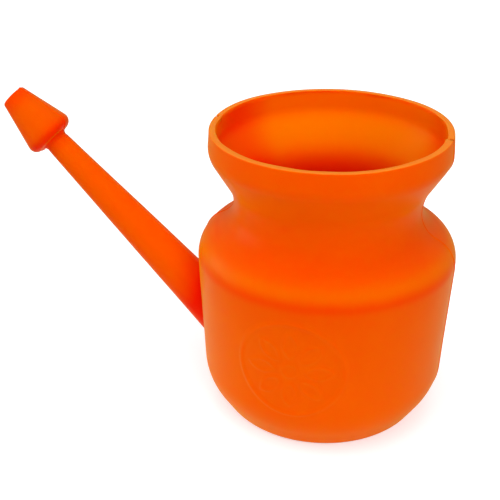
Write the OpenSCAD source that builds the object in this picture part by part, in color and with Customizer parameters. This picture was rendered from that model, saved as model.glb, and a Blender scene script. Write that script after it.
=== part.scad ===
// Nasal rinsing pot, blow moulded in one piece: a round body with a necked mouth, and a straight
// tapered spout that ends in a cone for the nostril.
// Z is up, the pot stands on z = 0 and the body turns about the Z axis. The spout and the parting
// line of the mould lie in the plane y = 0, with the spout on the -X side. The ornament faces -Y.

/* [Body] */
// Widest outside diameter, where the side wall meets the shoulder
body_d = 96; // [90:1:104]
// Height of the widest point above the table
shoulder_z = 64.2; // [58:0.2:76]
// Radius of the rounded shoulder
shoulder_r = 12; // [9:0.5:14]
// Lean of the side wall, in degrees: the body narrows towards the table
wall_draft = 2.3; // [0.5:0.1:3]
// Thickness of the blown wall
wall = 1.8; // [1.2:0.1:2.6]

/* [Base] */
// Outer diameter of the flat ring that the pot stands on
foot_d = 64; // [56:1:68]
// Width of that ring
foot_w = 4; // [2:0.5:6]
// Radius of the heel, just outside the ring
heel_r = 8.5; // [6:0.5:10]
// Lean of the sloping flank above the heel, in degrees from upright
flank_lean = 32; // [26:1:38]
// Radius that blends the flank into the side wall
flank_r = 23; // [12:1:26]
// Depth of the hollow inside the ring
hollow_depth = 1.6; // [0.8:0.1:3]
// Width of the hollow's sloping edge
hollow_slope = 5; // [3:0.5:8]

/* [Neck and rim] */
// Narrowest outside diameter of the neck
neck_d = 69; // [60:1:74]
// Radius of the fillet between shoulder and neck
neck_fillet_r = 11; // [8:0.5:14]
// Height of the straight part of the neck
neck_h = 0.5; // [0.2:0.1:8]
// Radius that turns the neck out into the flare
flare_fillet_r = 14; // [8:0.5:18]
// Lean of the flare, in degrees from upright
flare_lean = 31.5; // [26:0.5:38]
// Widest outside diameter of the rolled collar
collar_d = 87; // [82:1:92]
// Radius of the collar's outer curve
collar_r = 7.8; // [5:0.2:9]
// Height of the rim above the collar's widest point
rim_h = 6.5; // [4:0.5:10]
// Inward lean of the band under the rim, in degrees
rim_lean = 4.5; // [0.5:0.5:8]
// Thickness of the cut lip
rim_wall = 2.4; // [1.6:0.1:3]

/* [Spout] */
// Height at which the spout's axis leaves the side wall
spout_z = 34.2; // [32:0.2:40]
// Rise of the spout, in degrees above level
spout_angle = 44.4; // [38:0.2:48]
// Length along the axis, from the side wall to the back of the nozzle
spout_len = 89.5; // [80:0.5:100]
// Outside diameter at the side wall
spout_root_d = 18.6; // [16:0.2:20]
// Outside diameter behind the nozzle
spout_end_d = 9.4; // [8.4:0.1:10]
// Wall of the spout and the nozzle
spout_wall = 1.4; // [1:0.1:1.8]

/* [Nozzle] */
// Widest diameter of the nostril cone
nozzle_d = 19.6; // [18:0.2:21]
// Diameter of its cut tip
nozzle_tip_d = 10.4; // [9.8:0.2:12]
// Length of the nostril cone
nozzle_len = 22.5; // [18:0.5:28]
// Radius of its back edge
nozzle_back_r = 3.1; // [2:0.1:3.2]
// Radius of the edge round the tip
nozzle_tip_r = 0.9; // [0.3:0.1:1]
// Radius of the fillet between the spout and the nozzle's back
nozzle_root_r = 1.8; // [0.8:0.1:2]
// Diameter of the outlet hole
outlet_d = 6; // [5:0.1:6.4]
// Length of the straight outlet hole
outlet_len = 4; // [3:0.5:8]

/* [Parting line] */
// Height of the raised line that the mould leaves
seam_h = 0.25; // [0.1:0.05:0.5]
// Width of that line
seam_w = 0.9; // [0.5:0.1:1.6]
// Height of the line's lower end above the table
seam_z = 1; // [0.5:0.1:4]
// Length of the welded pinch line across the hollow
pinch_len = 46; // [30:1:50]
// Width of the pinch line
pinch_w = 1.4; // [0.8:0.1:2.4]
// Height of the pinch line
pinch_h = 0.7; // [0.3:0.1:0.8]

/* [Ornament] */
// Height of the ornament's centre
motif_z = 39.8; // [38:0.2:42]
// Outside diameter of the ring round the ornament
ring_d = 40; // [36:1:44]
// Width of the ring's line
ring_w = 1.5; // [1:0.1:3]
// How far the ornament stands out of the wall
relief = 0.5; // [0.2:0.1:0.8]
// Petals of the rosette
petals = 8; // [6:1:10]
// Distance from the centre to a petal's tip
petal_reach = 16; // [14:0.5:18]
// Distance from the centre to a petal's root
petal_root = 5; // [4:0.5:7]
// Width of a petal
petal_w = 6; // [4.6:0.2:7.4]
// Width of the line that outlines a petal
petal_line = 1.1; // [0.8:0.1:1.6]
// Outside diameter of the small ring at the centre
eye_d = 6.5; // [5:0.5:8]

/* [Hidden] */

$fn = 128;
// Degrees of turn for each step of a rounded profile
turn_step = 5;
// Room that cuts run past the surfaces they open
past = 5;
plastic = "orangered";

// Share of the flank's length that its blend into the side wall may use up
blend_share = 0.95;

// Unit vector at angle a above the level
function aim(a) = [cos(a), sin(a)];

// Points of an arc about c, from angle a0 to a1
function arc(c, r, a0, a1) =
    let (steps = max(1, ceil(abs(a1 - a0) / turn_step)))
    [for (i = [0 : steps]) c + r * aim(a0 + (a1 - a0) * i / steps)];

// Where the lines n1 . p = d1 and n2 . p = d2 cross
function crossing(n1, d1, n2, d2) =
    let (det = n1.x * n2.y - n1.y * n2.x)
    [(d1 * n2.y - d2 * n1.y) / det, (n1.x * d2 - n2.x * d1) / det];

// Directions square to the side wall and to the sloping flank, both pointing outwards and down
wall_n = aim(-wall_draft);
flank_n = aim(-flank_lean);

// Centres of the arcs that the body's profile is made of
shoulder_c = [body_d / 2 - shoulder_r, shoulder_z];
heel_c = [foot_d / 2, heel_r];
wall_offset = wall_n * shoulder_c + shoulder_r;
flank_offset = flank_n * heel_c + heel_r;

// The blend between flank and wall is limited by the length of the flank
flank_corner = crossing(wall_n, wall_offset, flank_n, flank_offset);
flank_run = norm(flank_corner - heel_c - heel_r * flank_n);
blend_r = min(flank_r, blend_share * flank_run / tan((flank_lean - wall_draft) / 2));
flank_c = crossing(wall_n, wall_offset - blend_r, flank_n, flank_offset - blend_r);

// The neck fillet touches the shoulder's arc, which sets the height of the neck
neck_x = neck_d / 2;
neck_out = neck_x + neck_fillet_r - shoulder_c.x;
neck_rise = sqrt(pow(shoulder_r + neck_fillet_r, 2) - pow(neck_out, 2));
neck_z = shoulder_z + neck_rise;
neck_c = [neck_x + neck_fillet_r, neck_z];
neck_turn = atan2(neck_c.y - shoulder_c.y, neck_c.x - shoulder_c.x);

// The flare's straight side touches the fillet above the neck and the collar's arc
flare_c = [neck_x + flare_fillet_r, neck_z + neck_h];
collar_x = collar_d / 2 - collar_r;
collar_rise = (collar_r + flare_fillet_r - cos(flare_lean) * (flare_c.x - collar_x)) / sin(flare_lean);
collar_c = [collar_x, flare_c.y + collar_rise];

// Overall height of the body
body_h = collar_c.y + rim_h;

// Profile of the body, as a half section that ends at height top. in is how far it lies inside the
// outer surface at the side wall, and rim_in at the collar; both are negative outside that surface.
function body_profile(in, rim_in, top) =
    let (
        band_x = collar_c.x + (collar_r - rim_in) * cos(rim_lean),
        band_z = collar_c.y + (collar_r - rim_in) * sin(rim_lean)
    )
    concat(
        [[0, hollow_depth + in]],
        [[foot_d / 2 - foot_w - hollow_slope, hollow_depth + in]],
        [[foot_d / 2 - foot_w, in]],
        arc(heel_c, heel_r - in, -90, -flank_lean),
        arc(flank_c, blend_r - in, -flank_lean, -wall_draft),
        arc(shoulder_c, shoulder_r - in, -wall_draft, neck_turn),
        arc(neck_c, neck_fillet_r + in, neck_turn + 180, 180),
        arc(flare_c, flare_fillet_r + in, 180, 180 - flare_lean),
        arc(collar_c, collar_r - rim_in, -flare_lean, rim_lean),
        [[band_x - (top - band_z) * tan(rim_lean), top]],
        [[0, top]]
    );

// Radius of the side wall's outer surface at height z
function wall_x(z) = (wall_offset - wall_n.y * z) / wall_n.x;

// The spout's axis starts on the side wall, at spout_root, and runs along local z
spout_root = [-wall_x(spout_z), 0, spout_z];
spout_end_r = spout_end_d / 2;
spout_slope = (spout_end_d - spout_root_d) / 2 / spout_len;
tip_s = spout_len + nozzle_len;

// How far the spout is carried on behind the side wall, so that its whole root is inside
root_back = spout_root_d / 2 * tan(spout_angle) + past;

// Radius of the spout's outer surface at a distance s along its axis
function spout_r(s) = spout_root_d / 2 + spout_slope * s;

// The nostril cone is a straight line that touches its back edge's arc and its tip edge's arc. The
// fillet behind it is limited by the width of the cone's back.
back_c = [nozzle_d / 2 - nozzle_back_r, spout_len + nozzle_back_r];
root_r = min(nozzle_root_r, back_c.x - spout_end_r);
root_c = [spout_end_r + root_r, spout_len - root_r];
tip_c = [nozzle_tip_d / 2 - nozzle_tip_r, tip_s - nozzle_tip_r];
cone_v = tip_c - back_c;
cone_turn = atan2(cone_v.y, cone_v.x) - acos((nozzle_back_r - nozzle_tip_r) / norm(cone_v));
cone_n = aim(cone_turn);

// Outside of spout and nozzle, grown by out
function spout_profile(out) = concat(
    [[0, -root_back]],
    [[spout_r(-root_back) + out, -root_back]],
    arc(root_c, root_r - out, 180, 90),
    arc(back_c, nozzle_back_r + out, -90, cone_turn),
    arc(tip_c, nozzle_tip_r + out, cone_turn, 90 - acos(nozzle_tip_r / (nozzle_tip_r + out))),
    [[0, tip_s]]
);

// Radius of the nostril cone's inner surface at a distance s along the axis
function cone_bore_r(s) =
    (cone_n * back_c + nozzle_back_r - spout_wall - cone_n.y * s) / cone_n.x;

// Inside of spout and nozzle: a tapered passage, a wider chamber in the cone and a straight outlet
chamber_back = spout_len + spout_wall;
land_start = tip_s - outlet_len;
outlet_r = outlet_d / 2;
function passage_profile() = concat(
    [[0, -root_back - past]],
    [[spout_r(-root_back - past) - spout_wall, -root_back - past]],
    [[spout_r(chamber_back) - spout_wall, chamber_back]],
    arc(back_c, nozzle_back_r - spout_wall, -90, cone_turn),
    [[cone_bore_r(land_start - spout_wall), land_start - spout_wall]],
    [[outlet_r, land_start]],
    [[outlet_r, tip_s + past]],
    [[0, tip_s + past]]
);

module along_spout() {
    translate(spout_root) rotate([0, spout_angle - 90, 0]) children();
}

module turned(profile) {
    rotate_extrude() polygon(profile);
}

// Outer form of body and spout, grown by out
module outside(out) {
    turned(body_profile(-out, -out, body_h));
    along_spout() turned(spout_profile(out));
}

// All that the wall encloses: the body's cavity, open at the rim, and the spout's passage
module inside() {
    turned(body_profile(wall, rim_wall, body_h + past));
    along_spout() turned(passage_profile());
}

// One petal outline, pointing along +x from the rosette's centre: the lens where two circles meet,
// less a smaller lens
module petal() {
    half = (petal_reach - petal_root) / 2;
    bow = petal_w / 2;
    lens_r = (half * half + bow * bow) / (2 * bow);
    translate([petal_root + half, 0]) difference() {
        lens(lens_r, lens_r - bow);
        lens(lens_r - petal_line, lens_r - bow);
    }
}

module lens(r, shift) {
    intersection() {
        translate([0, shift]) circle(r);
        translate([0, -shift]) circle(r);
    }
}

module line_ring(d, w) {
    difference() {
        circle(d = d);
        circle(d = d - 2 * w);
    }
}

// The ornament as seen from the front
module rosette() {
    line_ring(ring_d, ring_w);
    line_ring(eye_d, petal_line);
    for (i = [0 : petals - 1])
        rotate(90 + i * 360 / petals) petal();
}

// The ornament stands out of the front wall by the same height all over
module ornament() {
    intersection() {
        turned(body_profile(-relief, -relief, body_h));
        translate([0, 0, motif_z]) rotate([90, 0, 0])
            linear_extrude(body_d) rosette();
    }
}

// The line that the two mould halves leave round body, spout and nozzle
module parting_line() {
    intersection() {
        outside(seam_h);
        translate([-body_d - tip_s, -seam_w / 2, seam_z])
            cube([2 * body_d + tip_s, seam_w, body_h + tip_s]);
    }
}

// The weld across the hollow where the mould pinched the tube of plastic shut
module pinch_line() {
    translate([-pinch_len / 2, -pinch_w / 2, hollow_depth - pinch_h])
        cube([pinch_len, pinch_w, pinch_h + wall / 2]);
}

module pot() {
    color(plastic) difference() {
        union() {
            outside(0);
            ornament();
            parting_line();
            pinch_line();
        }
        inside();
    }
}

pot();
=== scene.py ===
import math

import bpy
import numpy as np
from mathutils import Matrix, Vector, noise


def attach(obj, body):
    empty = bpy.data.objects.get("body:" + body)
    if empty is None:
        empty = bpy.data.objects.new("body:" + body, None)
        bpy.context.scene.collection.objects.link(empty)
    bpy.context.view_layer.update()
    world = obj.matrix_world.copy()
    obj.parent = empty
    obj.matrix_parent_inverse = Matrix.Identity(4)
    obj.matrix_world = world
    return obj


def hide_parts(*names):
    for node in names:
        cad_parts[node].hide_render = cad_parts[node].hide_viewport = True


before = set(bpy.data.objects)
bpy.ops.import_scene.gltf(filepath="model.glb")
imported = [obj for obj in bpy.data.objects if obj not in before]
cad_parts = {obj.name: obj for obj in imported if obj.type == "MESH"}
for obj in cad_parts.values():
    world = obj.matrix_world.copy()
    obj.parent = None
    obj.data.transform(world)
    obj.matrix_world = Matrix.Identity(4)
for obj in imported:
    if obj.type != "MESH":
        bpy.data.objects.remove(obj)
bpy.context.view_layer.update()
MM = 0.001

# Body: side wall, shoulder, base
BODY_D, SHOULDER_Z, SHOULDER_R, WALL_DRAFT, WALL = 96, 64.2, 12, 2.3, 1.8
FOOT_D, FOOT_W, HEEL_R, FLANK_LEAN, FLANK_R = 64, 4, 8.5, 32, 23
HOLLOW_DEPTH, HOLLOW_SLOPE = 1.6, 5

# Neck, flare and rolled collar
NECK_D, NECK_FILLET_R, NECK_H, FLARE_FILLET_R, FLARE_LEAN = 69, 11, 0.5, 14, 31.5
COLLAR_D, COLLAR_R, RIM_H, RIM_LEAN, RIM_WALL = 87, 7.8, 6.5, 4.5, 2.4

# Spout and nostril cone
SPOUT_Z, SPOUT_ANGLE, SPOUT_LEN, SPOUT_ROOT_D, SPOUT_END_D = 34.2, 44.4, 89.5, 18.6, 9.4
SPOUT_WALL = 1.4
NOZZLE_D, NOZZLE_TIP_D, NOZZLE_LEN = 19.6, 10.4, 22.5
NOZZLE_BACK_R, NOZZLE_TIP_R, NOZZLE_ROOT_R = 3.1, 0.9, 1.8
OUTLET_D, OUTLET_LEN = 6, 4

# Parting line, weld under the base, and ornament
SEAM_H, SEAM_W, SEAM_Z, SEAM_EDGE, SEAM_RISE = 0.25, 0.9, 1, 0.5, 2
PINCH_LEN, PINCH_W, PINCH_H, PINCH_EDGE, PINCH_END = 46, 1.4, 0.7, 0.9, 3
MOTIF_Z, RING_D, RING_W, RELIEF, RELIEF_EDGE = 39.8, 40, 1.5, 0.36, 1.4
PETALS, PETAL_REACH, PETAL_ROOT, PETAL_W, PETAL_LINE, EYE_D = 8, 16, 5, 6, 1.1, 6.5

# Light: level of the white surroundings, and square lamps at a distance, in metres
WORLD_LIGHT, LAMP_SIZE, LAMP_DISTANCE = 0.44, 0.8, 1.2

# Colours of the plastic, in linear values: two plain ones, a paler one for painted light, a deeper one
# for painted shade, the lip's cut face (partly its own look, partly a painted highlight), and a dark
# one painted as the shadow in the nicks
PLAIN_COLOURS = (0.99, 0.09, 0.0, 1), (0.99, 0.105, 0.0, 1)
PAINTED_LIGHT_COLOUR, PAINTED_SHADE_COLOUR = (0.99, 0.21, 0.0, 1), (0.99, 0.008, 0.0, 1)
LIP_CUT_AND_HIGHLIGHT_COLOUR, NICK_SHADOW_COLOUR = (0.99, 0.2, 0.012, 1), (0.1, 0.015, 0.0, 1)

# Radii that a mould and a knife leave on corners
LIP_EDGE_R, OUTLET_EDGE_R, HOLLOW_EDGE_R = 0.35, 0.3, 1.5
SPOUT_FILLET, PASSAGE_FILLET = 2.6, 0.7

# What the knife leaves on the lip. The wall under the cut is uneven over LIP_UNEVEN_H. It is thicker
# by LIP_STEP next to the parting line, less so with each fade angle, and by LIP_FRONT round the
# front, which is at FRONT_TURN degrees about Z.
LIP_UNEVEN_H, LIP_WHOLE_H, LIP_STEP, LIP_RIGHT_FADE, LIP_LEFT_FADE = 8, 1, 0.7, 13, 16
FRONT_TURN, LIP_LEFT_TURN, LIP_FRONT, LIP_FRONT_HALF, LIP_FRONT_FADE = -90, -120, 0.3, 45, 60
LIP_WAVE, LIP_WAVE_LEN, CUT_WAVE_LEN, CUT_WAVE_H, CUT_WHOLE_H = 0.3, 9, 30, 4, 0.5
LIP_LAYER, CUT_LAYER = 3, 7
CUT_FACE_H, NICK_W, NICK_H, NICK_DEPTH, NICK_EDGE = 0.1, 1.5, 1.0, 0.35, 0.4
NICK_INNER, NICK_OUTER, NICK_REACH, NICK_BELOW = 1.4, 1.0, 0.6, 0.4

# How far the wall of a blown body is from true, and over which lengths
WALL_WAVE, WALL_WAVE_LEN, WALL_RIPPLE, WALL_RIPPLE_LEN = 0.09, 26, 0.3, 9
FOOT_TRUE_H, WALL_WAVE_RISE = 1, 6

# Room that is left where points are picked by their place
BODY_SPARE, HOLLOW_SPARE, LIP_SPARE, NICK_SPARE, SPOUT_SPARE, BORE_SPARE = 0.5, 0.1, 0.01, 0.2, 1, 1
TIP_SPARE, PROUD_FROM = 0.05, 0.2

# How finely the skin is divided: degrees for each step of an arc, and longest steps in millimetres
OUTER_STEP, INNER_STEP, ROOT_STEP, BACK_STEP, CHAMBER_STEP, PROFILE_STEP = 3, 5, 12, 8, 20, 0.25
RELIEF_GAP, LIP_GAP, OUTER_GAP, INNER_LIP_GAP, INNER_GAP, NOZZLE_GAP = 0.52, 0.4, 1.8, 0.5, 1.8, 1.4
RELIEF_MARGIN, RELIEF_FOOT, LIP_BAND, INNER_LIP_BAND, INNER_RIM_H = 1.5, 2, 1.2, 1, 9
SEAM_COLUMNS = (0, 0.12, 0.24, 0.36, 0.48, 0.6, 0.8, 1.05, 1.35, 1.7, 2.1)
COLUMN_TURN, INNER_TURN, RELIEF_COLUMNS = 3, 2.5, 98
WINDOW_RINGS, FILLET_RINGS, SPOUT_RINGS, PASSAGE_RINGS = 7, 5, 24, 12
SPOUT_END_GAP, PASSAGE_END_GAP = 1, 6

# Window in the body's grid round the spout's root: lowest and highest point, and half its angle
SPOUT_WINDOW, PASSAGE_WINDOW = (13.5, 54.5, 18), (17, 54, 17)

# Distances along the spout between which its root meets the body, halvings that find the place, and
# half the height over which the wall's lean is measured there
ROOT_RANGE, HALVINGS, PROBE = (-25.0, 30.0), 50, 0.1

# Plastic: grain, gloss, light that spreads under the surface, and bloom at the edges
CLOUD_SCALE, CLOUD_DETAIL, GRAIN_SCALE, GRAIN_DETAIL, NOISE_SPAN = 35, 3, 1400, 2, (0.3, 0.7)
GRAIN_STRENGTH, GRAIN_DEPTH, ROUGHNESS, PLASTIC_IOR, GLOSS = 0.25, 0.00006, (0.3, 0.36), 1.5, 0.035
GLOSS_TINT, BLOOM_TINT, BLOOM, BLOOM_SPREAD = (1.0, 0.5, 0.0, 1), (1.0, 0.72, 0.0, 1), 0.32, 0.4
SPREAD_BODY, SPREAD_FIRM, SPREAD_DEPTH, SPREAD_COLOUR = 0.6, 0.3, 0.005, (1.0, 0.12, 0.02)

# Floor, in metres: it is palest near the pot, and seen as white away from it
FLOOR_SIZE, FLOOR_NEAR, FLOOR_FAR, FLOOR_ROUGHNESS = 6.0, 0.12, 0.3, 0.9
FLOOR_SHADE, FLOOR_GLOW = (0.8, 0.35), (0.5, 1.0)

# Lamps, as azimuth (0 in front, 90 on the right), elevation and watts, and the height they aim at
LAMPS = {
    "above": (0, 90, 2.6),
    "over_front": (0, 60, 3.4),
    "right_front": (35, 24, 5.9),
    "left_side": (275, 8, 6.3),
}
LAMP_AIM = 0.06

# Camera: its own axes, its place in millimetres, and its lens for a picture of FRAME_PX pixels
CAMERA_RIGHT = (0.94249, 0.33370, -0.01874)
CAMERA_DOWN = (0.15923, -0.49761, -0.85266)
CAMERA_AHEAD = (-0.29385, 0.80064, -0.52213)
CAMERA_PLACE = (78.42, -331.14, 237.10)
SENSOR, FOCAL_PX, FRAME_PX, CAMERA_SHIFT, CAMERA_RANGE = 36, 1003.0, 500, (0.06, 0.16), (0.01, 20)


# Profiles of the body, as radius and height

def aim(angle):
    """Unit vector at an angle above the level, in degrees."""
    return np.array([math.cos(math.radians(angle)), math.sin(math.radians(angle))])


def arc(centre, radius, start, end, step=3.0):
    """Points of an arc, from one angle to another."""
    count = max(1, math.ceil(abs(end - start) / step))
    return [centre + radius * aim(start + (end - start) * i / count) for i in range(count + 1)]


def crossing(normal_a, offset_a, normal_b, offset_b):
    """Where two lines, each given by its normal and offset, cross."""
    return np.linalg.solve(np.array([normal_a, normal_b]), np.array([offset_a, offset_b]))


def rounded(before, corner, after, radius, pieces=5):
    """Points of the arc that rounds one corner."""
    a, b = before - corner, after - corner
    a, b = a / np.linalg.norm(a), b / np.linalg.norm(b)
    half = math.acos(np.clip(a @ b, -1, 1)) / 2
    centre = corner + (a + b) / np.linalg.norm(a + b) * radius / math.sin(half)
    start, end = corner + a * radius / math.tan(half), corner + b * radius / math.tan(half)
    out = []
    for i in range(pieces + 1):
        v = start - centre + (end - start) * i / pieces
        out.append(centre + v / np.linalg.norm(v) * radius)
    return out


def fill(points, gap):
    """The same line with more points, so that no step is longer than gap says at its height."""
    out = [points[0]]
    for p, q in zip(points, points[1:]):
        length = np.linalg.norm(q - p)
        if length < 1e-6:
            continue
        count = max(1, math.ceil(length / gap((p[1] + q[1]) / 2)))
        out += [p + (q - p) * i / count for i in range(1, count + 1)]
    return np.array(out)


wall_n, flank_n = aim(-WALL_DRAFT), aim(-FLANK_LEAN)
shoulder_c = np.array([BODY_D / 2 - SHOULDER_R, SHOULDER_Z])
heel_c = np.array([FOOT_D / 2, HEEL_R])
wall_offset = wall_n @ shoulder_c + SHOULDER_R
flank_offset = flank_n @ heel_c + HEEL_R
flank_c = crossing(wall_n, wall_offset - FLANK_R, flank_n, flank_offset - FLANK_R)
neck_x = NECK_D / 2
neck_out = neck_x + NECK_FILLET_R - shoulder_c[0]
neck_z = SHOULDER_Z + math.sqrt((SHOULDER_R + NECK_FILLET_R) ** 2 - neck_out ** 2)
neck_c = np.array([neck_x + NECK_FILLET_R, neck_z])
neck_turn = math.degrees(math.atan2(neck_c[1] - shoulder_c[1], neck_c[0] - shoulder_c[0]))
flare_c = np.array([neck_x + FLARE_FILLET_R, neck_z + NECK_H])
collar_x = COLLAR_D / 2 - COLLAR_R
collar_rise = (
    COLLAR_R + FLARE_FILLET_R - math.cos(math.radians(FLARE_LEAN)) * (flare_c[0] - collar_x)
) / math.sin(math.radians(FLARE_LEAN))
collar_c = np.array([collar_x, flare_c[1] + collar_rise])
body_h = collar_c[1] + RIM_H


def upright(inset, rim_inset, step):
    """The body's profile from the standing ring to the collar, at a distance inside the outer face."""
    return (
        arc(heel_c, HEEL_R - inset, -90, -FLANK_LEAN, step)
        + arc(flank_c, FLANK_R - inset, -FLANK_LEAN, -WALL_DRAFT, step)
        + arc(shoulder_c, SHOULDER_R - inset, -WALL_DRAFT, neck_turn, step)
        + arc(neck_c, NECK_FILLET_R + inset, neck_turn + 180, 180, step)
        + arc(flare_c, FLARE_FILLET_R + inset, 180, 180 - FLARE_LEAN, step)
        + arc(collar_c, COLLAR_R - rim_inset, -FLARE_LEAN, RIM_LEAN, step)
    )


def lip_corner(rim_inset):
    """Where the band under the rim meets the plane of the cut."""
    r, z = collar_c + (COLLAR_R - rim_inset) * aim(RIM_LEAN)
    return np.array([r - (body_h - z) * math.tan(math.radians(RIM_LEAN)), body_h])


def hollow(inset):
    """The hollow under the base, from the axis to the standing ring."""
    deep, edge = HOLLOW_DEPTH + inset, FOOT_D / 2 - FOOT_W
    axis, inner = np.array([0, deep]), np.array([edge - HOLLOW_SLOPE, deep])
    outer, ring = np.array([edge, inset]), np.array([FOOT_D / 2, inset])
    return (
        [axis]
        + rounded(axis, inner, outer, HOLLOW_EDGE_R)
        + rounded(inner, outer, ring, HOLLOW_EDGE_R)
    )


BAND_LOW, BAND_HIGH = MOTIF_Z - RING_D / 2 - RELIEF_FOOT, MOTIF_Z + RING_D / 2 + RELIEF_MARGIN


def outer_gap(z):
    """Longest step of the outer profile: short where the ornament is, and at the cut lip."""
    if BAND_LOW < z < BAND_HIGH:
        return RELIEF_GAP
    return LIP_GAP if z > body_h - LIP_BAND else OUTER_GAP


def inner_gap(z):
    """Longest step of the inner profile."""
    return INNER_LIP_GAP if z > body_h - INNER_LIP_BAND else INNER_GAP


lip_out, lip_in = lip_corner(0), lip_corner(RIM_WALL)
outer_line = hollow(0) + upright(0, 0, OUTER_STEP)
inner_line = hollow(WALL) + upright(WALL, RIM_WALL, INNER_STEP)
lip_line = (
    rounded(outer_line[-1], lip_out, lip_in, LIP_EDGE_R)
    + rounded(lip_out, lip_in, inner_line[-1], LIP_EDGE_R)
)
outer_rows = fill(outer_line + lip_line, outer_gap)
inner_rows = fill([lip_line[-1]] + inner_line[::-1], inner_gap)


def radius_of(inset):
    """The radius of the side wall as a function of height, at a distance inside the outer face."""
    line = np.array(upright(inset, inset, PROFILE_STEP))
    line = line[: int(np.argmax(line[:, 0])) + 1]
    return lambda z: np.interp(z, line[:, 1], line[:, 0])


# Spout and nostril cone, along the spout's axis

along = np.array([-math.cos(math.radians(SPOUT_ANGLE)), 0, math.sin(math.radians(SPOUT_ANGLE))])
upper = np.array([math.sin(math.radians(SPOUT_ANGLE)), 0, math.cos(math.radians(SPOUT_ANGLE))])
across = np.array([0, 1, 0])
spout_root = np.array([-(wall_offset - wall_n[1] * SPOUT_Z) / wall_n[0], 0, SPOUT_Z])
spout_slope = (SPOUT_END_D - SPOUT_ROOT_D) / 2 / SPOUT_LEN
TIP_S = SPOUT_LEN + NOZZLE_LEN


def spout_r(s):
    """Outer radius of the spout at a distance s along its axis."""
    return SPOUT_ROOT_D / 2 + spout_slope * s


def round_spout(turn, s, radius):
    """Points at angles turn round the spout's axis, 0 on its upper side. s and radius may vary."""
    turn = np.radians(turn)[:, None]
    s, radius = np.broadcast_to(s, len(turn))[:, None], np.broadcast_to(radius, len(turn))[:, None]
    return spout_root + along * s + radius * (np.cos(turn) * upper + np.sin(turn) * across)


root_c = np.array([SPOUT_END_D / 2 + NOZZLE_ROOT_R, SPOUT_LEN - NOZZLE_ROOT_R])
back_c = np.array([NOZZLE_D / 2 - NOZZLE_BACK_R, SPOUT_LEN + NOZZLE_BACK_R])
tip_c = np.array([NOZZLE_TIP_D / 2 - NOZZLE_TIP_R, TIP_S - NOZZLE_TIP_R])
cone_v = tip_c - back_c
cone_turn = math.degrees(
    math.atan2(cone_v[1], cone_v[0])
    - math.acos((NOZZLE_BACK_R - NOZZLE_TIP_R) / np.linalg.norm(cone_v))
)
cone_n = aim(cone_turn)


def cone_bore_r(s):
    """Inner radius of the nostril cone."""
    return (cone_n @ back_c + NOZZLE_BACK_R - SPOUT_WALL - cone_n[1] * s) / cone_n[0]


def nozzle_rows():
    """Profile (radius, s) of the nostril cone from the spout's end over the tip to the outlet."""
    root = arc(root_c, NOZZLE_ROOT_R, 180, 90, ROOT_STEP)
    back = arc(back_c, NOZZLE_BACK_R, -90, cone_turn, BACK_STEP)
    tip = arc(tip_c, NOZZLE_TIP_R, cone_turn, 90, ROOT_STEP)
    outlet, land = np.array([OUTLET_D / 2, TIP_S]), np.array([OUTLET_D / 2, TIP_S - OUTLET_LEN])
    edge = rounded(tip[-1], outlet, land, OUTLET_EDGE_R)
    return fill(root + back + tip + edge + [land], lambda s: NOZZLE_GAP)


def chamber_rows():
    """Profile of the space inside the cone, from the outlet back into the spout's passage."""
    land = TIP_S - OUTLET_LEN - SPOUT_WALL
    step = arc(back_c, NOZZLE_BACK_R - SPOUT_WALL, cone_turn, -90, CHAMBER_STEP)
    middle = (land + step[0][1]) / 2
    back = SPOUT_LEN + SPOUT_WALL
    ends = [[cone_bore_r(land), land], [cone_bore_r(middle), middle]]
    return np.array(ends + [list(p) for p in step] + [[spout_r(back) - SPOUT_WALL, back]])


# One closed skin, outside and inside

class Skin:
    """Points and faces that together make one closed skin."""

    def __init__(self):
        self.points, self.faces, self.outside = [], [], []

    def add(self, points, outside=False):
        """Adds an array of points and returns their numbers, in the same shape."""
        flat = np.asarray(points, float).reshape(-1, 3)
        first = len(self.outside)
        self.points.append(flat)
        self.outside += [outside] * len(flat)
        return np.arange(first, first + len(flat)).reshape(np.shape(points)[:-1])

    def bridge(self, a, b):
        """Joins two closed rings of the same count."""
        self.faces += np.stack([a, np.roll(a, -1), np.roll(b, -1), b], 1).tolist()

    def bridge_back(self, a, b):
        """The same with its faces turned round, for a passage that is followed from the inside out."""
        self.bridge(b, a)

    def fan(self, ring, pole):
        """Closes a ring with triangles that meet in one point."""
        self.faces += [[p, q, int(pole)] for p, q in zip(ring.tolist(), np.roll(ring, -1).tolist())]

    def zip(self, a, a_turn, b, b_turn):
        """Joins two closed rings of different counts. Both start near angle 0 and turn the same way."""
        a, b = a.tolist() + [a[0]], b.tolist() + [b[0]]
        a_turn, b_turn = list(a_turn) + [a_turn[0] + 360], list(b_turn) + [b_turn[0] + 360]
        i = j = 0
        while i < len(a) - 1 or j < len(b) - 1:
            if j == len(b) - 1 or (i < len(a) - 1 and a_turn[i + 1] <= b_turn[j + 1]):
                self.faces.append([int(a[i]), int(a[i + 1]), int(b[j])])
                i += 1
            else:
                self.faces.append([int(a[i]), int(b[j + 1]), int(b[j])])
                j += 1


def turned(rows, turns):
    """Points of a surface of revolution about Z."""
    t = np.radians(turns)
    r, z = rows[:, 0][:, None], rows[:, 1][:, None]
    return np.stack([r * np.cos(t), r * np.sin(t), z + 0 * t], -1)


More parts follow.
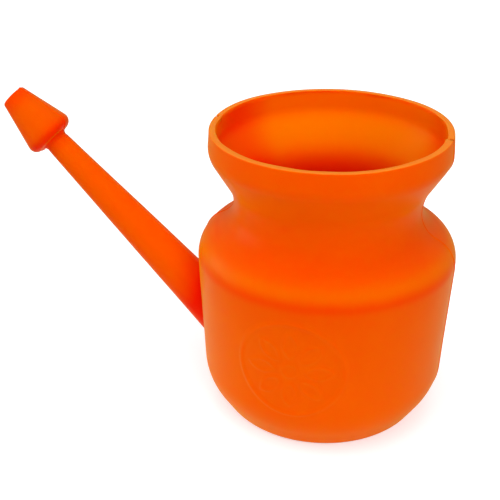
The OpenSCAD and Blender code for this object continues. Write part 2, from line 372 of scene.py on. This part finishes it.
def columns():
    """Angles of the outer skin's columns: close together at the parting line and over the ornament."""
    near = np.degrees(np.array(SEAM_COLUMNS) / (BODY_D / 2))
    # The wall's radius behind the ornament, which is a little below its widest place
    wall_r = BODY_D / 2 - 1
    half = math.degrees(math.asin((RING_D / 2 + RELIEF_MARGIN) / wall_r))
    seam = np.concatenate([-near[:0:-1], near])

    def between(a, b, gap):
        count = math.ceil((b - a) / gap)
        return a + (b - a) * np.arange(1, count) / count

    turns = np.concatenate([
        seam,
        between(near[-1], 180 - near[-1], COLUMN_TURN),
        180 + seam,
        between(180 + near[-1], 270 - half, COLUMN_TURN),
        np.linspace(270 - half, 270 + half, RELIEF_COLUMNS),
        between(270 + half, 360 - near[-1], COLUMN_TURN),
    ])
    return np.concatenate([turns[turns >= 0], turns[turns < 0] + 360])


def window(rows, turns, low, high, half):
    """Rows and columns that frame the place where the spout leaves, as (i0, i1, j0, j1)."""
    i = np.flatnonzero((rows[:, 1] > low) & (rows[:, 1] < high) & (rows[:, 0] > NECK_D / 2))
    j = np.flatnonzero(abs(turns - 180) < half)
    return i.min(), i.max(), j.min(), j.max()


def frame_loop(frame_of, middle):
    """Grid places round a window, from the middle of its top side towards +Y and down."""
    low, high, j0, j1 = frame_of
    top = [(high, j) for j in range(middle, j0, -1)]
    side = [(i, j0) for i in range(high, low, -1)]
    bottom = [(low, j) for j in range(j0, j1)]
    other = [(i, j1) for i in range(low, high)]
    rest = [(high, j) for j in range(j1, middle, -1)]
    return np.array(top + side + bottom + other + rest)


def join_spout(skin, rows, turns, grid, frame_of, inset, fillet):
    """Fills a window of the body's grid with rings that close in on the spout, and a fillet.
    Returns the last ring, its angles round the spout and its distances along it."""
    middle = int(np.argmin(abs(turns - 180)))
    upwards = rows[-1, 1] > rows[0, 1]
    i0, i1, j0, j1 = frame_of
    if upwards:
        places = frame_loop((i0, i1, j0, j1), middle)
    else:
        flipped = frame_loop((-i1, -i0, j0, j1), middle)
        places = flipped * [-1, 1]
    z, turn = rows[places[:, 0], 1], turns[places[:, 1]]
    half_z, half_turn = (z.max() - z.min()) / 2, (turn.max() - turn.min()) / 2
    phi = np.degrees(np.arctan2((180 - turn) / half_turn, (z - z.min()) / half_z - 1)) % 360
    radius_at = radius_of(inset)

    def tube(s):
        return spout_r(s) - (SPOUT_WALL if inset else 0)

    # Where each line along the spout meets the body
    low, high = (np.full(len(phi), end) for end in ROOT_RANGE)
    for _ in range(HALVINGS):
        mid = (low + high) / 2
        p = round_spout(phi, mid, tube(mid))
        out = np.hypot(p[:, 0], p[:, 1]) > radius_at(p[:, 2])
        low, high = np.where(out, low, mid), np.where(out, mid, high)
    s = (low + high) / 2
    met = round_spout(phi, s, tube(s))

    # The fillet's edge on the body lies square to the joint
    rim = np.hypot(met[:, 0], met[:, 1])
    lean = (radius_at(met[:, 2] + PROBE) - radius_at(met[:, 2] - PROBE)) / (2 * PROBE)
    body_n = np.stack([met[:, 0] / rim, met[:, 1] / rim, -lean], 1)
    body_n /= np.linalg.norm(body_n, axis=1)[:, None]
    spout_n = round_spout(phi, 0, 1) - round_spout(phi, 0, 0)
    away = spout_n - body_n * np.sum(spout_n * body_n, 1)[:, None]
    edge = met + fillet * away / np.linalg.norm(away, axis=1)[:, None]
    hole = np.stack([np.degrees(np.arctan2(edge[:, 1], edge[:, 0])) % 360, edge[:, 2]], 1)

    def on_body(place):
        t = np.radians(place[:, 0])
        r = radius_at(place[:, 1])
        return np.stack([r * np.cos(t), r * np.sin(t), place[:, 1]], 1)

    outside = inset == 0
    bridge = skin.bridge if outside else skin.bridge_back
    ring = grid[places[:, 0], places[:, 1]]
    start = np.stack([turn, z], 1)
    for m in range(1, WINDOW_RINGS + 1):
        new = skin.add(on_body(start + (hole - start) * m / WINDOW_RINGS), outside)
        bridge(ring, new)
        ring = new
    edge = on_body(hole)
    end_s = s + fillet
    end = round_spout(phi, end_s, tube(end_s))
    for m in range(1, FILLET_RINGS + 1):
        t = m / FILLET_RINGS
        new = skin.add((1 - t) ** 2 * edge + 2 * t * (1 - t) * met + t * t * end, outside)
        bridge(ring, new)
        ring = new
    return ring, phi, end_s


def grid_faces(skin, grid, frame_of):
    """Faces of a turned grid, without those inside the window."""
    i0, i1, j0, j1 = frame_of
    for i, (a, b) in enumerate(zip(grid, grid[1:])):
        quads = np.stack([a, np.roll(a, -1), np.roll(b, -1), b], 1)
        if i0 <= i < i1:
            quads = np.delete(quads, np.arange(j0, j1), 0)
        skin.faces += quads.tolist()


def build_skin():
    """The whole skin: body, spout, nostril cone, cavity and passage."""
    skin = Skin()
    turns = columns()

    # Outside, from the middle of the hollow up to the cut lip
    rows = outer_rows[1:]
    grid = skin.add(turned(rows, turns), True)
    gap = window(rows, turns, *SPOUT_WINDOW)
    grid_faces(skin, grid, gap)
    skin.fan(grid[0][::-1], skin.add(np.array([[0, 0, outer_rows[0, 1]]]), True)[0])
    ring, phi, start_s = join_spout(skin, rows, turns, grid, gap, 0, SPOUT_FILLET)

    # Spout and nostril cone
    end_s = SPOUT_LEN - NOZZLE_ROOT_R - SPOUT_END_GAP
    for m in range(1, SPOUT_RINGS + 1):
        s = start_s + (end_s - start_s) * m / SPOUT_RINGS
        new = skin.add(round_spout(phi, s, spout_r(s)), True)
        skin.bridge(ring, new)
        ring = new
    for r, s in nozzle_rows():
        # The parting line stops before the flat tip, which counts as inside with the outlet's bore
        before_tip = s < TIP_S - TIP_SPARE and r > OUTLET_D / 2 + BORE_SPARE
        new = skin.add(round_spout(phi, s, r), before_tip)
        skin.bridge(ring, new)
        ring = new
    for r, s in chamber_rows():
        new = skin.add(round_spout(phi, s, r))
        skin.bridge(ring, new)
        ring = new
    passage_ring, passage_phi = ring, phi

    # Inside, from the lip down to the floor
    inner_turns = np.arange(0, 360, INNER_TURN)
    rim = inner_rows[:, 1] > body_h - INNER_RIM_H
    upper_rows, lower_rows = inner_rows[rim][1:], inner_rows[~rim][:-1]
    ring = grid[-1]
    for row in upper_rows:
        new = skin.add(turned(row[None], turns)[0])
        skin.bridge(ring, new)
        ring = new
    inner = skin.add(turned(lower_rows, inner_turns))
    skin.zip(ring, turns, inner[0], inner_turns)
    gap = window(lower_rows, inner_turns, *PASSAGE_WINDOW)
    grid_faces(skin, inner, gap)
    skin.fan(inner[-1], skin.add(np.array([[0, 0, inner_rows[-1, 1]]]))[0])
    ring, phi, start_s = join_spout(skin, lower_rows, inner_turns, inner, gap, WALL, PASSAGE_FILLET)
    end_s = SPOUT_LEN - PASSAGE_END_GAP
    for m in range(1, PASSAGE_RINGS + 1):
        s = start_s + (end_s - start_s) * m / PASSAGE_RINGS
        new = skin.add(round_spout(phi, s, spout_r(s) - SPOUT_WALL))
        skin.bridge_back(ring, new)
        ring = new
    skin.zip(passage_ring, passage_phi, ring, phi)
    return skin


# Relief, marks, and painted light and shade

def soft(distance, edge):
    """1 well inside a shape, 0 well outside, with a rounded step of that width at its edge."""
    t = np.clip(0.5 - distance / edge, 0, 1)
    return t * t * (3 - 2 * t)


def rosette_distance(u, v):
    """Signed distance to the ornament's lines, as seen from the front."""
    radius = np.hypot(u, v)
    ring = abs(radius - (RING_D - RING_W) / 2) - RING_W / 2
    eye = abs(radius - (EYE_D - PETAL_LINE) / 2) - PETAL_LINE / 2
    best = np.minimum(ring, eye)
    # Each petal is a line along the inside of a lens, which two arcs make
    half, bow = (PETAL_REACH - PETAL_ROOT) / 2, PETAL_W / 2
    lens_r = (half * half + bow * bow) / (2 * bow)
    for i in range(PETALS):
        c, s = aim(90 + 360 * i / PETALS)
        x, y = u * c + v * s - PETAL_ROOT - half, abs(v * c - u * s)
        lens = np.hypot(x, y + lens_r - bow) - lens_r
        best = np.minimum(best, np.maximum(lens, -PETAL_LINE - lens))
    return best


def ramp_up(value, low, high):
    """0 below low, 1 above high, with a smooth rise between them."""
    t = np.clip((value - low) / (high - low), 0, 1)
    return t * t * (3 - 2 * t)


def rise(value, amount, low, high):
    """An amount of painted shade, painted light when below 0, that comes in smoothly between two
    values.
    """
    return amount * ramp_up(value, low, high)


def fall(value, amount, low, high):
    """An amount of painted shade, painted light when below 0, that goes out smoothly between two
    values.
    """
    return amount * (1 - ramp_up(value, low, high))


def band(value, amount, middle, width):
    """An amount of painted shade, painted light when below 0, that is strongest at one value and fades
    on both sides of it.
    """
    return amount * np.exp(-((value - middle) / width) ** 2)


def level_noise(co, length, layer):
    """Smooth noise over the plan of the points, of that length. Each layer is another pattern."""
    return np.array([noise.noise(Vector((p[0] / length, p[1] / length, layer))) for p in co])


def lip_marks(co, outside, lip):
    """Moves that the knife and the mould's two halves leave on the lip, and how much painted shadow
    each nick gets.
    """
    x, y, z = co.T
    radius = np.hypot(x, y)
    turn = np.degrees(np.arctan2(y, x))
    unit = np.stack([x, y, 0 * z], 1) / np.maximum(radius, 1)[:, None]
    near = radius < BODY_D / 2

    # The wall under the lip is uneven, and thicker in the front half where it meets the parting line
    inwards = np.clip((lip_out[0] - radius) / (lip_out[0] - lip_in[0]), 0, 1)
    depth = np.where(outside & ~lip, 0, inwards)
    depth *= ramp_up(z, body_h - LIP_UNEVEN_H, body_h - LIP_WHOLE_H)
    right, left = (turn < 0) & (turn > FRONT_TURN), turn < LIP_LEFT_TURN
    thicker = np.where(right, np.exp(turn / LIP_RIGHT_FADE), 0) * LIP_STEP
    thicker += np.where(left, np.exp(-(turn + 180) / LIP_LEFT_FADE), 0) * LIP_STEP / 2
    thicker += LIP_FRONT * soft(abs(turn - FRONT_TURN) - LIP_FRONT_HALF, LIP_FRONT_FADE)
    thicker += LIP_WAVE * level_noise(co, LIP_WAVE_LEN, LIP_LAYER)
    move = -unit * np.where(near, depth * thicker, 0)[:, None]

    # A nick in the outer half of the lip at each end of the parting line, which also gets a painted
    # shadow
    outer_half = radius > (lip_out[0] + lip_in[0]) / 2 - NICK_SPARE
    top = near & (z > body_h - NICK_H) & outer_half
    nick = np.where(top, soft(abs(y) - NICK_W / 2, NICK_EDGE), 0)
    left_nick = ramp_up(radius, lip_out[0] - NICK_INNER, lip_out[0] - NICK_OUTER)
    nick *= np.where(x > 0, 1, left_nick)
    move[:, 2] -= NICK_H * nick * np.where(lip, 1, NICK_BELOW)
    dent = NICK_DEPTH * nick * ramp_up(radius, lip_out[0] - NICK_REACH, lip_out[0])
    move -= unit * dent[:, None]

    # The cut isn't quite level
    level = LIP_WAVE * level_noise(co, CUT_WAVE_LEN, CUT_LAYER)
    level *= ramp_up(z, body_h - CUT_WAVE_H, body_h - CUT_WHOLE_H)
    move[:, 2] += np.where(near, level, 0)
    return move, nick


# Painted light and shade in the colour: above 0 is painted shade, a deeper orange, and below 0 is
# painted light, a paler one. A rise or fall is given by its amount, where it starts and where it
# ends, and a band by its amount, its middle and its width.
# Painted shade along the spout, where the root's shade reaches further on the upper side:
SPOUT_ROOT_SHADE, ROOT_SLANT, SPOUT_UNDERSIDE_SHADE = (1.4, -4, 20), 0.7, (0.45, -1, 6)
CONE_BACK_SHADE, TIP_SHADE = (0.8, SPOUT_LEN + 0.5, 2.8), (0.5, TIP_S - 9, TIP_S)
# Painted shade and light inside the body, by height and by the share of the radius that lies to the
# side:
DEEP_INSIDE_SHADE, FLARE_INSIDE_LIGHT, UNDER_LIP_SHADE = (1, 80, 95), (-1, 86, 99), (0.55, 101, 106)
INSIDE_LIP_SHADE, INSIDE_SIDE_SHADE = (0.7, body_h - 1.6, body_h - 0.2), (1.3, 0.7, 1)
# Painted shade, highlight and light outside the body, by height:
UNDER_SHOULDER_SHADE, SHOULDER_EDGE_HIGHLIGHT = (0.4, SHOULDER_Z + 1.6, 2.0), (-0.3, SHOULDER_Z + 6.2, 2.6)
NECK_FOOT_SHADE, LOWER_WALL_LIGHT = (0.15, SHOULDER_Z + 13, 5), (-0.08, 50, 62)
# Painted shade round the spout's root on the wall, by distance from it, and how far out the spout's own
# shading takes over:
JOINT_SHADE, JOINT_DEPTH = (0.7, 0, 4), 1.8


def painted_light_and_shade(co, outside):
    """Painted light and shade for the colour, above 0 for painted shade in a deep orange and below 0
    for painted light in a paler one, and how firm the plastic is: 0 outside the body, 1 inside it and
    at the spout."""
    x, y, z = co.T
    radius = np.hypot(x, y)
    s = (co - spout_root) @ along
    height = (co - spout_root) @ upper
    off = np.linalg.norm(co - spout_root - s[:, None] * along, axis=1)
    proud = radius - radius_of(0)(z)
    spout = (s > -SPOUT_ROOT_D) & (off < NOZZLE_D / 2 + SPOUT_SPARE) & (proud > PROUD_FROM)
    leaves = np.where(spout, ramp_up(proud, 0, JOINT_DEPTH), 0)

    # Painted shade on the spout and the nostril cone
    tube = fall(s - ROOT_SLANT * height, *SPOUT_ROOT_SHADE)
    tube += rise(-height, *SPOUT_UNDERSIDE_SHADE) + band(s, *CONE_BACK_SHADE) + rise(s, *TIP_SHADE)

    # Painted shade inside the body, with painted light on the inside of the flare
    side = np.abs(x) / np.maximum(radius, 1.0)
    inner = rise(z, *INSIDE_LIP_SHADE) + fall(z, *DEEP_INSIDE_SHADE)
    inner += rise(side, *INSIDE_SIDE_SHADE) + rise(z, *FLARE_INSIDE_LIGHT) + rise(z, *UNDER_LIP_SHADE)

    # Painted shade under the shoulder, at the neck's foot and round the spout's root, a painted
    # highlight on the shoulder's edge, and painted light on the lower wall
    outer = band(z, *UNDER_SHOULDER_SHADE) + band(z, *NECK_FOOT_SHADE) + band(z, *SHOULDER_EDGE_HIGHLIGHT)
    outer += fall(z, *LOWER_WALL_LIGHT)
    outer += np.where(x < 0, band(np.maximum(off - spout_r(s), 0), *JOINT_SHADE), 0)

    light_and_shade = leaves * tube + (1 - leaves) * np.where(outside, outer, inner)
    return light_and_shade, np.where(outside, leaves, 1)


def heights(co, outside):
    """How far each point of the skin is pushed out along its normal."""
    x, y, z = co.T
    turn_r = np.hypot(x, y)
    body = turn_r < BODY_D / 2 + BODY_SPARE
    front = outside & body & (y < 0) & (z > BAND_LOW) & (z < BAND_HIGH) & (turn_r > NECK_D / 2)
    h = np.where(front, RELIEF * soft(rosette_distance(x, z - MOTIF_Z), RELIEF_EDGE), 0)

    # The parting line runs all round, but not over the cut lip
    line = soft(abs(y) - SEAM_W / 2, SEAM_EDGE) * np.clip((z - SEAM_Z) / SEAM_RISE, 0, 1)
    h += np.where(outside & (z > SEAM_Z), SEAM_H * line, 0)
    under = outside & (z < HOLLOW_DEPTH + HOLLOW_SPARE) & (turn_r < FOOT_D / 2 - FOOT_W)
    weld = soft(abs(y) - PINCH_W / 2, PINCH_EDGE) * soft(turn_r - PINCH_LEN / 2, PINCH_END)
    h += np.where(under, PINCH_H * weld, 0)

    # A blown wall is never quite true
    wave = np.array([noise.noise(Vector(p) / WALL_WAVE_LEN) for p in co])
    ripple = np.array([noise.noise(Vector(p) / WALL_RIPPLE_LEN) for p in co])
    stands = np.clip((z - FOOT_TRUE_H) / WALL_WAVE_RISE, 0, 1)
    return h + np.where(outside, WALL_WAVE * (wave + WALL_RIPPLE * ripple) * stands, 0)


def normals_of(co, faces):
    """Normals of the points, weighted by the faces' areas."""
    total = np.zeros_like(co)
    for size in (3, 4):
        f = np.array([x for x in faces if len(x) == size])
        n = np.cross(co[f[:, 2]] - co[f[:, 0]], co[f[:, size - 1]] - co[f[:, 1]])
        for k in range(size):
            np.add.at(total, f[:, k], n)
    return total / np.maximum(np.linalg.norm(total, axis=1), 1e-12)[:, None]


def make_pot():
    """The pot's one piece, with the attributes that its material reads."""
    skin = build_skin()
    co = np.concatenate(skin.points)
    outside = np.array(skin.outside)
    near = np.hypot(co[:, 0], co[:, 1]) < BODY_D / 2
    lip = near & (co[:, 2] > body_h - LIP_EDGE_R - LIP_SPARE)
    # The lip's top face, which is painted paler: partly the cut's own look, partly a painted highlight
    cut = lip & (co[:, 2] > body_h - CUT_FACE_H)
    used = np.zeros(len(co), bool)
    used[[i for f in skin.faces for i in f]] = True
    number = np.cumsum(used) - 1
    faces = [[int(number[i]) for i in f] for f in skin.faces]
    co, outside, lip, cut = co[used], outside[used], lip[used], cut[used]
    n = normals_of(co, faces)
    # Painted light and shade for the colour, and how firm the plastic is
    light_and_shade, firm = painted_light_and_shade(co, outside)
    move, nick = lip_marks(co, outside, lip)
    co = co + n * heights(co, outside & ~lip)[:, None] + move

    mesh = bpy.data.meshes.new("pot_skin")
    mesh.from_pydata((co * MM).tolist(), [], faces)
    mesh.validate()
    mesh.shade_smooth()
    # Attributes for the material: the cut face, painted light and shade, the nicks' painted shadow, and
    # firmness
    for name, values in (("cut", cut), ("light_and_shade", light_and_shade), ("nick", nick), ("firm", firm)):
        attribute = mesh.attributes.new(name, "FLOAT", "POINT")
        attribute.data.foreach_set("value", values.astype(np.float32))
    pot = bpy.data.objects.new("pot_skin", mesh)
    bpy.context.scene.collection.objects.link(pot)
    return pot


pot = make_pot()


# Materials

def new_material(name):
    """A node material, with its tree and its shader."""
    material = bpy.data.materials.new(name)
    material.use_nodes = True
    tree = material.node_tree
    return material, tree, tree.nodes["Principled BSDF"]


def map_range(tree, source, before, after):
    """The source's value carried over from one range to another, and kept inside it."""
    node = tree.nodes.new("ShaderNodeMapRange")
    node.inputs["From Min"].default_value, node.inputs["From Max"].default_value = before
    node.inputs["To Min"].default_value, node.inputs["To Max"].default_value = after
    tree.links.new(source, node.inputs["Value"])
    return node.outputs["Result"]


def plastic_material():
    """Satin, slightly translucent orange polyethylene, with painted light and shade in its colour."""
    material, tree, shader = new_material("satin_polyethylene")
    nodes, links = tree.nodes, tree.links
    place = nodes.new("ShaderNodeTexCoord")

    def clouds(scale, detail):
        node = nodes.new("ShaderNodeTexNoise")
        node.inputs["Scale"].default_value = scale
        node.inputs["Detail"].default_value = detail
        links.new(place.outputs["Object"], node.inputs["Vector"])
        return node.outputs["Fac"]

    def of_mesh(name, before, after=(0, 1)):
        node = nodes.new("ShaderNodeAttribute")
        node.attribute_name = name
        return map_range(tree, node.outputs["Fac"], before, after)

    def mix(factor, a, b):
        node = nodes.new("ShaderNodeMix")
        node.data_type = "RGBA"
        links.new(factor, node.inputs["Factor"])
        # Sockets 6 and 7 take the two colours, and output 2 gives the mixed one
        for socket, value in ((6, a), (7, b)):
            if isinstance(value, tuple):
                node.inputs[socket].default_value = value
            else:
                links.new(value, node.inputs[socket])
        return node.outputs[2]

    broad = clouds(CLOUD_SCALE, CLOUD_DETAIL)
    colour = mix(map_range(tree, broad, NOISE_SPAN, (0, 1)), *PLAIN_COLOURS)
    # Painted light where the mesh's attribute is below 0, then painted shade where it is above 0
    colour = mix(of_mesh("light_and_shade", (0, -1)), colour, PAINTED_LIGHT_COLOUR)
    colour = mix(of_mesh("light_and_shade", (0, 1)), colour, PAINTED_SHADE_COLOUR)
    # The lip's cut face: partly its own paler look, partly a painted highlight
    colour = mix(of_mesh("cut", (0, 1)), colour, LIP_CUT_AND_HIGHLIGHT_COLOUR)
    # A dark colour painted into the nicks as their shadow
    colour = mix(of_mesh("nick", (0, 1)), colour, NICK_SHADOW_COLOUR)
    links.new(colour, shader.inputs["Base Color"])
    links.new(map_range(tree, broad, NOISE_SPAN, ROUGHNESS), shader.inputs["Roughness"])

    bump = nodes.new("ShaderNodeBump")
    bump.inputs["Strength"].default_value = GRAIN_STRENGTH
    bump.inputs["Distance"].default_value = GRAIN_DEPTH
    links.new(clouds(GRAIN_SCALE, GRAIN_DETAIL), bump.inputs["Height"])
    links.new(bump.outputs["Normal"], shader.inputs["Normal"])

    spread = of_mesh("firm", (0, 1), (SPREAD_BODY, SPREAD_FIRM))
    links.new(spread, shader.inputs["Subsurface Weight"])
    shader.inputs["Subsurface Radius"].default_value = SPREAD_COLOUR
    shader.inputs["Subsurface Scale"].default_value = SPREAD_DEPTH
    shader.inputs["IOR"].default_value = PLASTIC_IOR
    shader.inputs["Specular IOR Level"].default_value = GLOSS
    shader.inputs["Specular Tint"].default_value = GLOSS_TINT
    shader.inputs["Sheen Weight"].default_value = BLOOM
    shader.inputs["Sheen Roughness"].default_value = BLOOM_SPREAD
    shader.inputs["Sheen Tint"].default_value = BLOOM_TINT
    return material


def floor_material():
    """Pale diffuse floor that the camera sees as white where nothing shades it."""
    material, tree, shader = new_material("pale_floor")
    shader.inputs["Roughness"].default_value = FLOOR_ROUGHNESS
    shader.inputs["Specular IOR Level"].default_value = 0.0
    shader.inputs["Emission Color"].default_value = (1, 1, 1, 1)
    place = tree.nodes.new("ShaderNodeTexCoord")
    away = tree.nodes.new("ShaderNodeVectorMath")
    away.operation = "LENGTH"
    tree.links.new(place.outputs["Object"], away.inputs[0])
    reach = FLOOR_NEAR, FLOOR_FAR
    shade = map_range(tree, away.outputs["Value"], reach, FLOOR_SHADE)
    tree.links.new(shade, shader.inputs["Base Color"])
    path = tree.nodes.new("ShaderNodeLightPath")
    seen = tree.nodes.new("ShaderNodeMath")
    seen.operation = "MULTIPLY"
    tree.links.new(path.outputs["Is Camera Ray"], seen.inputs[0])
    tree.links.new(map_range(tree, away.outputs["Value"], reach, FLOOR_GLOW), seen.inputs[1])
    tree.links.new(seen.outputs[0], shader.inputs["Emission Strength"])
    return material


pot.data.materials.append(plastic_material())
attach(pot, "root")
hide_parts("pot")


# Floor, light and camera

def make_floor():
    """One flat square under the pot."""
    corners = [(-1, -1, 0), (1, -1, 0), (1, 1, 0), (-1, 1, 0)]
    points = [tuple(FLOOR_SIZE * v for v in corner) for corner in corners]
    mesh = bpy.data.meshes.new("floor")
    mesh.from_pydata(points, [], [(0, 1, 2, 3)])
    mesh.materials.append(floor_material())
    floor = bpy.data.objects.new("floor", mesh)
    bpy.context.scene.collection.objects.link(floor)


def make_world():
    """White surroundings that light the pot evenly, and that the camera sees as white."""
    world = bpy.data.worlds.new("studio")
    bpy.context.scene.world = world
    world.use_nodes = True
    tree = world.node_tree
    background = tree.nodes["Background"]
    background.inputs["Color"].default_value = (1, 1, 1, 1)
    path = tree.nodes.new("ShaderNodeLightPath")
    strength = map_range(tree, path.outputs["Is Camera Ray"], (0, 1), (WORLD_LIGHT, 1.0))
    tree.links.new(strength, background.inputs["Strength"])


def softbox(name, azimuth, elevation, watts):
    """A square lamp that looks at the middle of the pot."""
    light = bpy.data.lights.new(name, "AREA")
    light.shape, light.size, light.energy = "SQUARE", LAMP_SIZE, watts
    turn, lift = math.radians(azimuth), math.radians(elevation)
    level = math.cos(lift)
    out = Vector((math.sin(turn) * level, -math.cos(turn) * level, math.sin(lift)))
    lamp = bpy.data.objects.new(name, light)
    lamp.location = out * LAMP_DISTANCE + Vector((0, 0, LAMP_AIM))
    lamp.rotation_euler = (-out).to_track_quat("-Z", "Y").to_euler()
    bpy.context.scene.collection.objects.link(lamp)


def make_camera():
    """The camera at the photograph's place and angle."""
    camera = bpy.data.objects.new("camera", bpy.data.cameras.new("camera"))
    right, down, ahead = Vector(CAMERA_RIGHT), Vector(CAMERA_DOWN), Vector(CAMERA_AHEAD)
    turn = Matrix((right, -down, -ahead)).transposed().to_4x4()
    camera.matrix_world = Matrix.Translation(Vector(CAMERA_PLACE) * MM) @ turn
    camera.data.sensor_width = SENSOR
    camera.data.lens = SENSOR * FOCAL_PX / FRAME_PX
    camera.data.shift_x, camera.data.shift_y = CAMERA_SHIFT
    camera.data.clip_start, camera.data.clip_end = CAMERA_RANGE
    bpy.context.scene.collection.objects.link(camera)
    bpy.context.scene.camera = camera


make_floor()
make_world()
for name, (azimuth, elevation, watts) in LAMPS.items():
    softbox(name, azimuth, elevation, watts)
make_camera()
bpy.context.scene.view_settings.view_transform = "Standard"
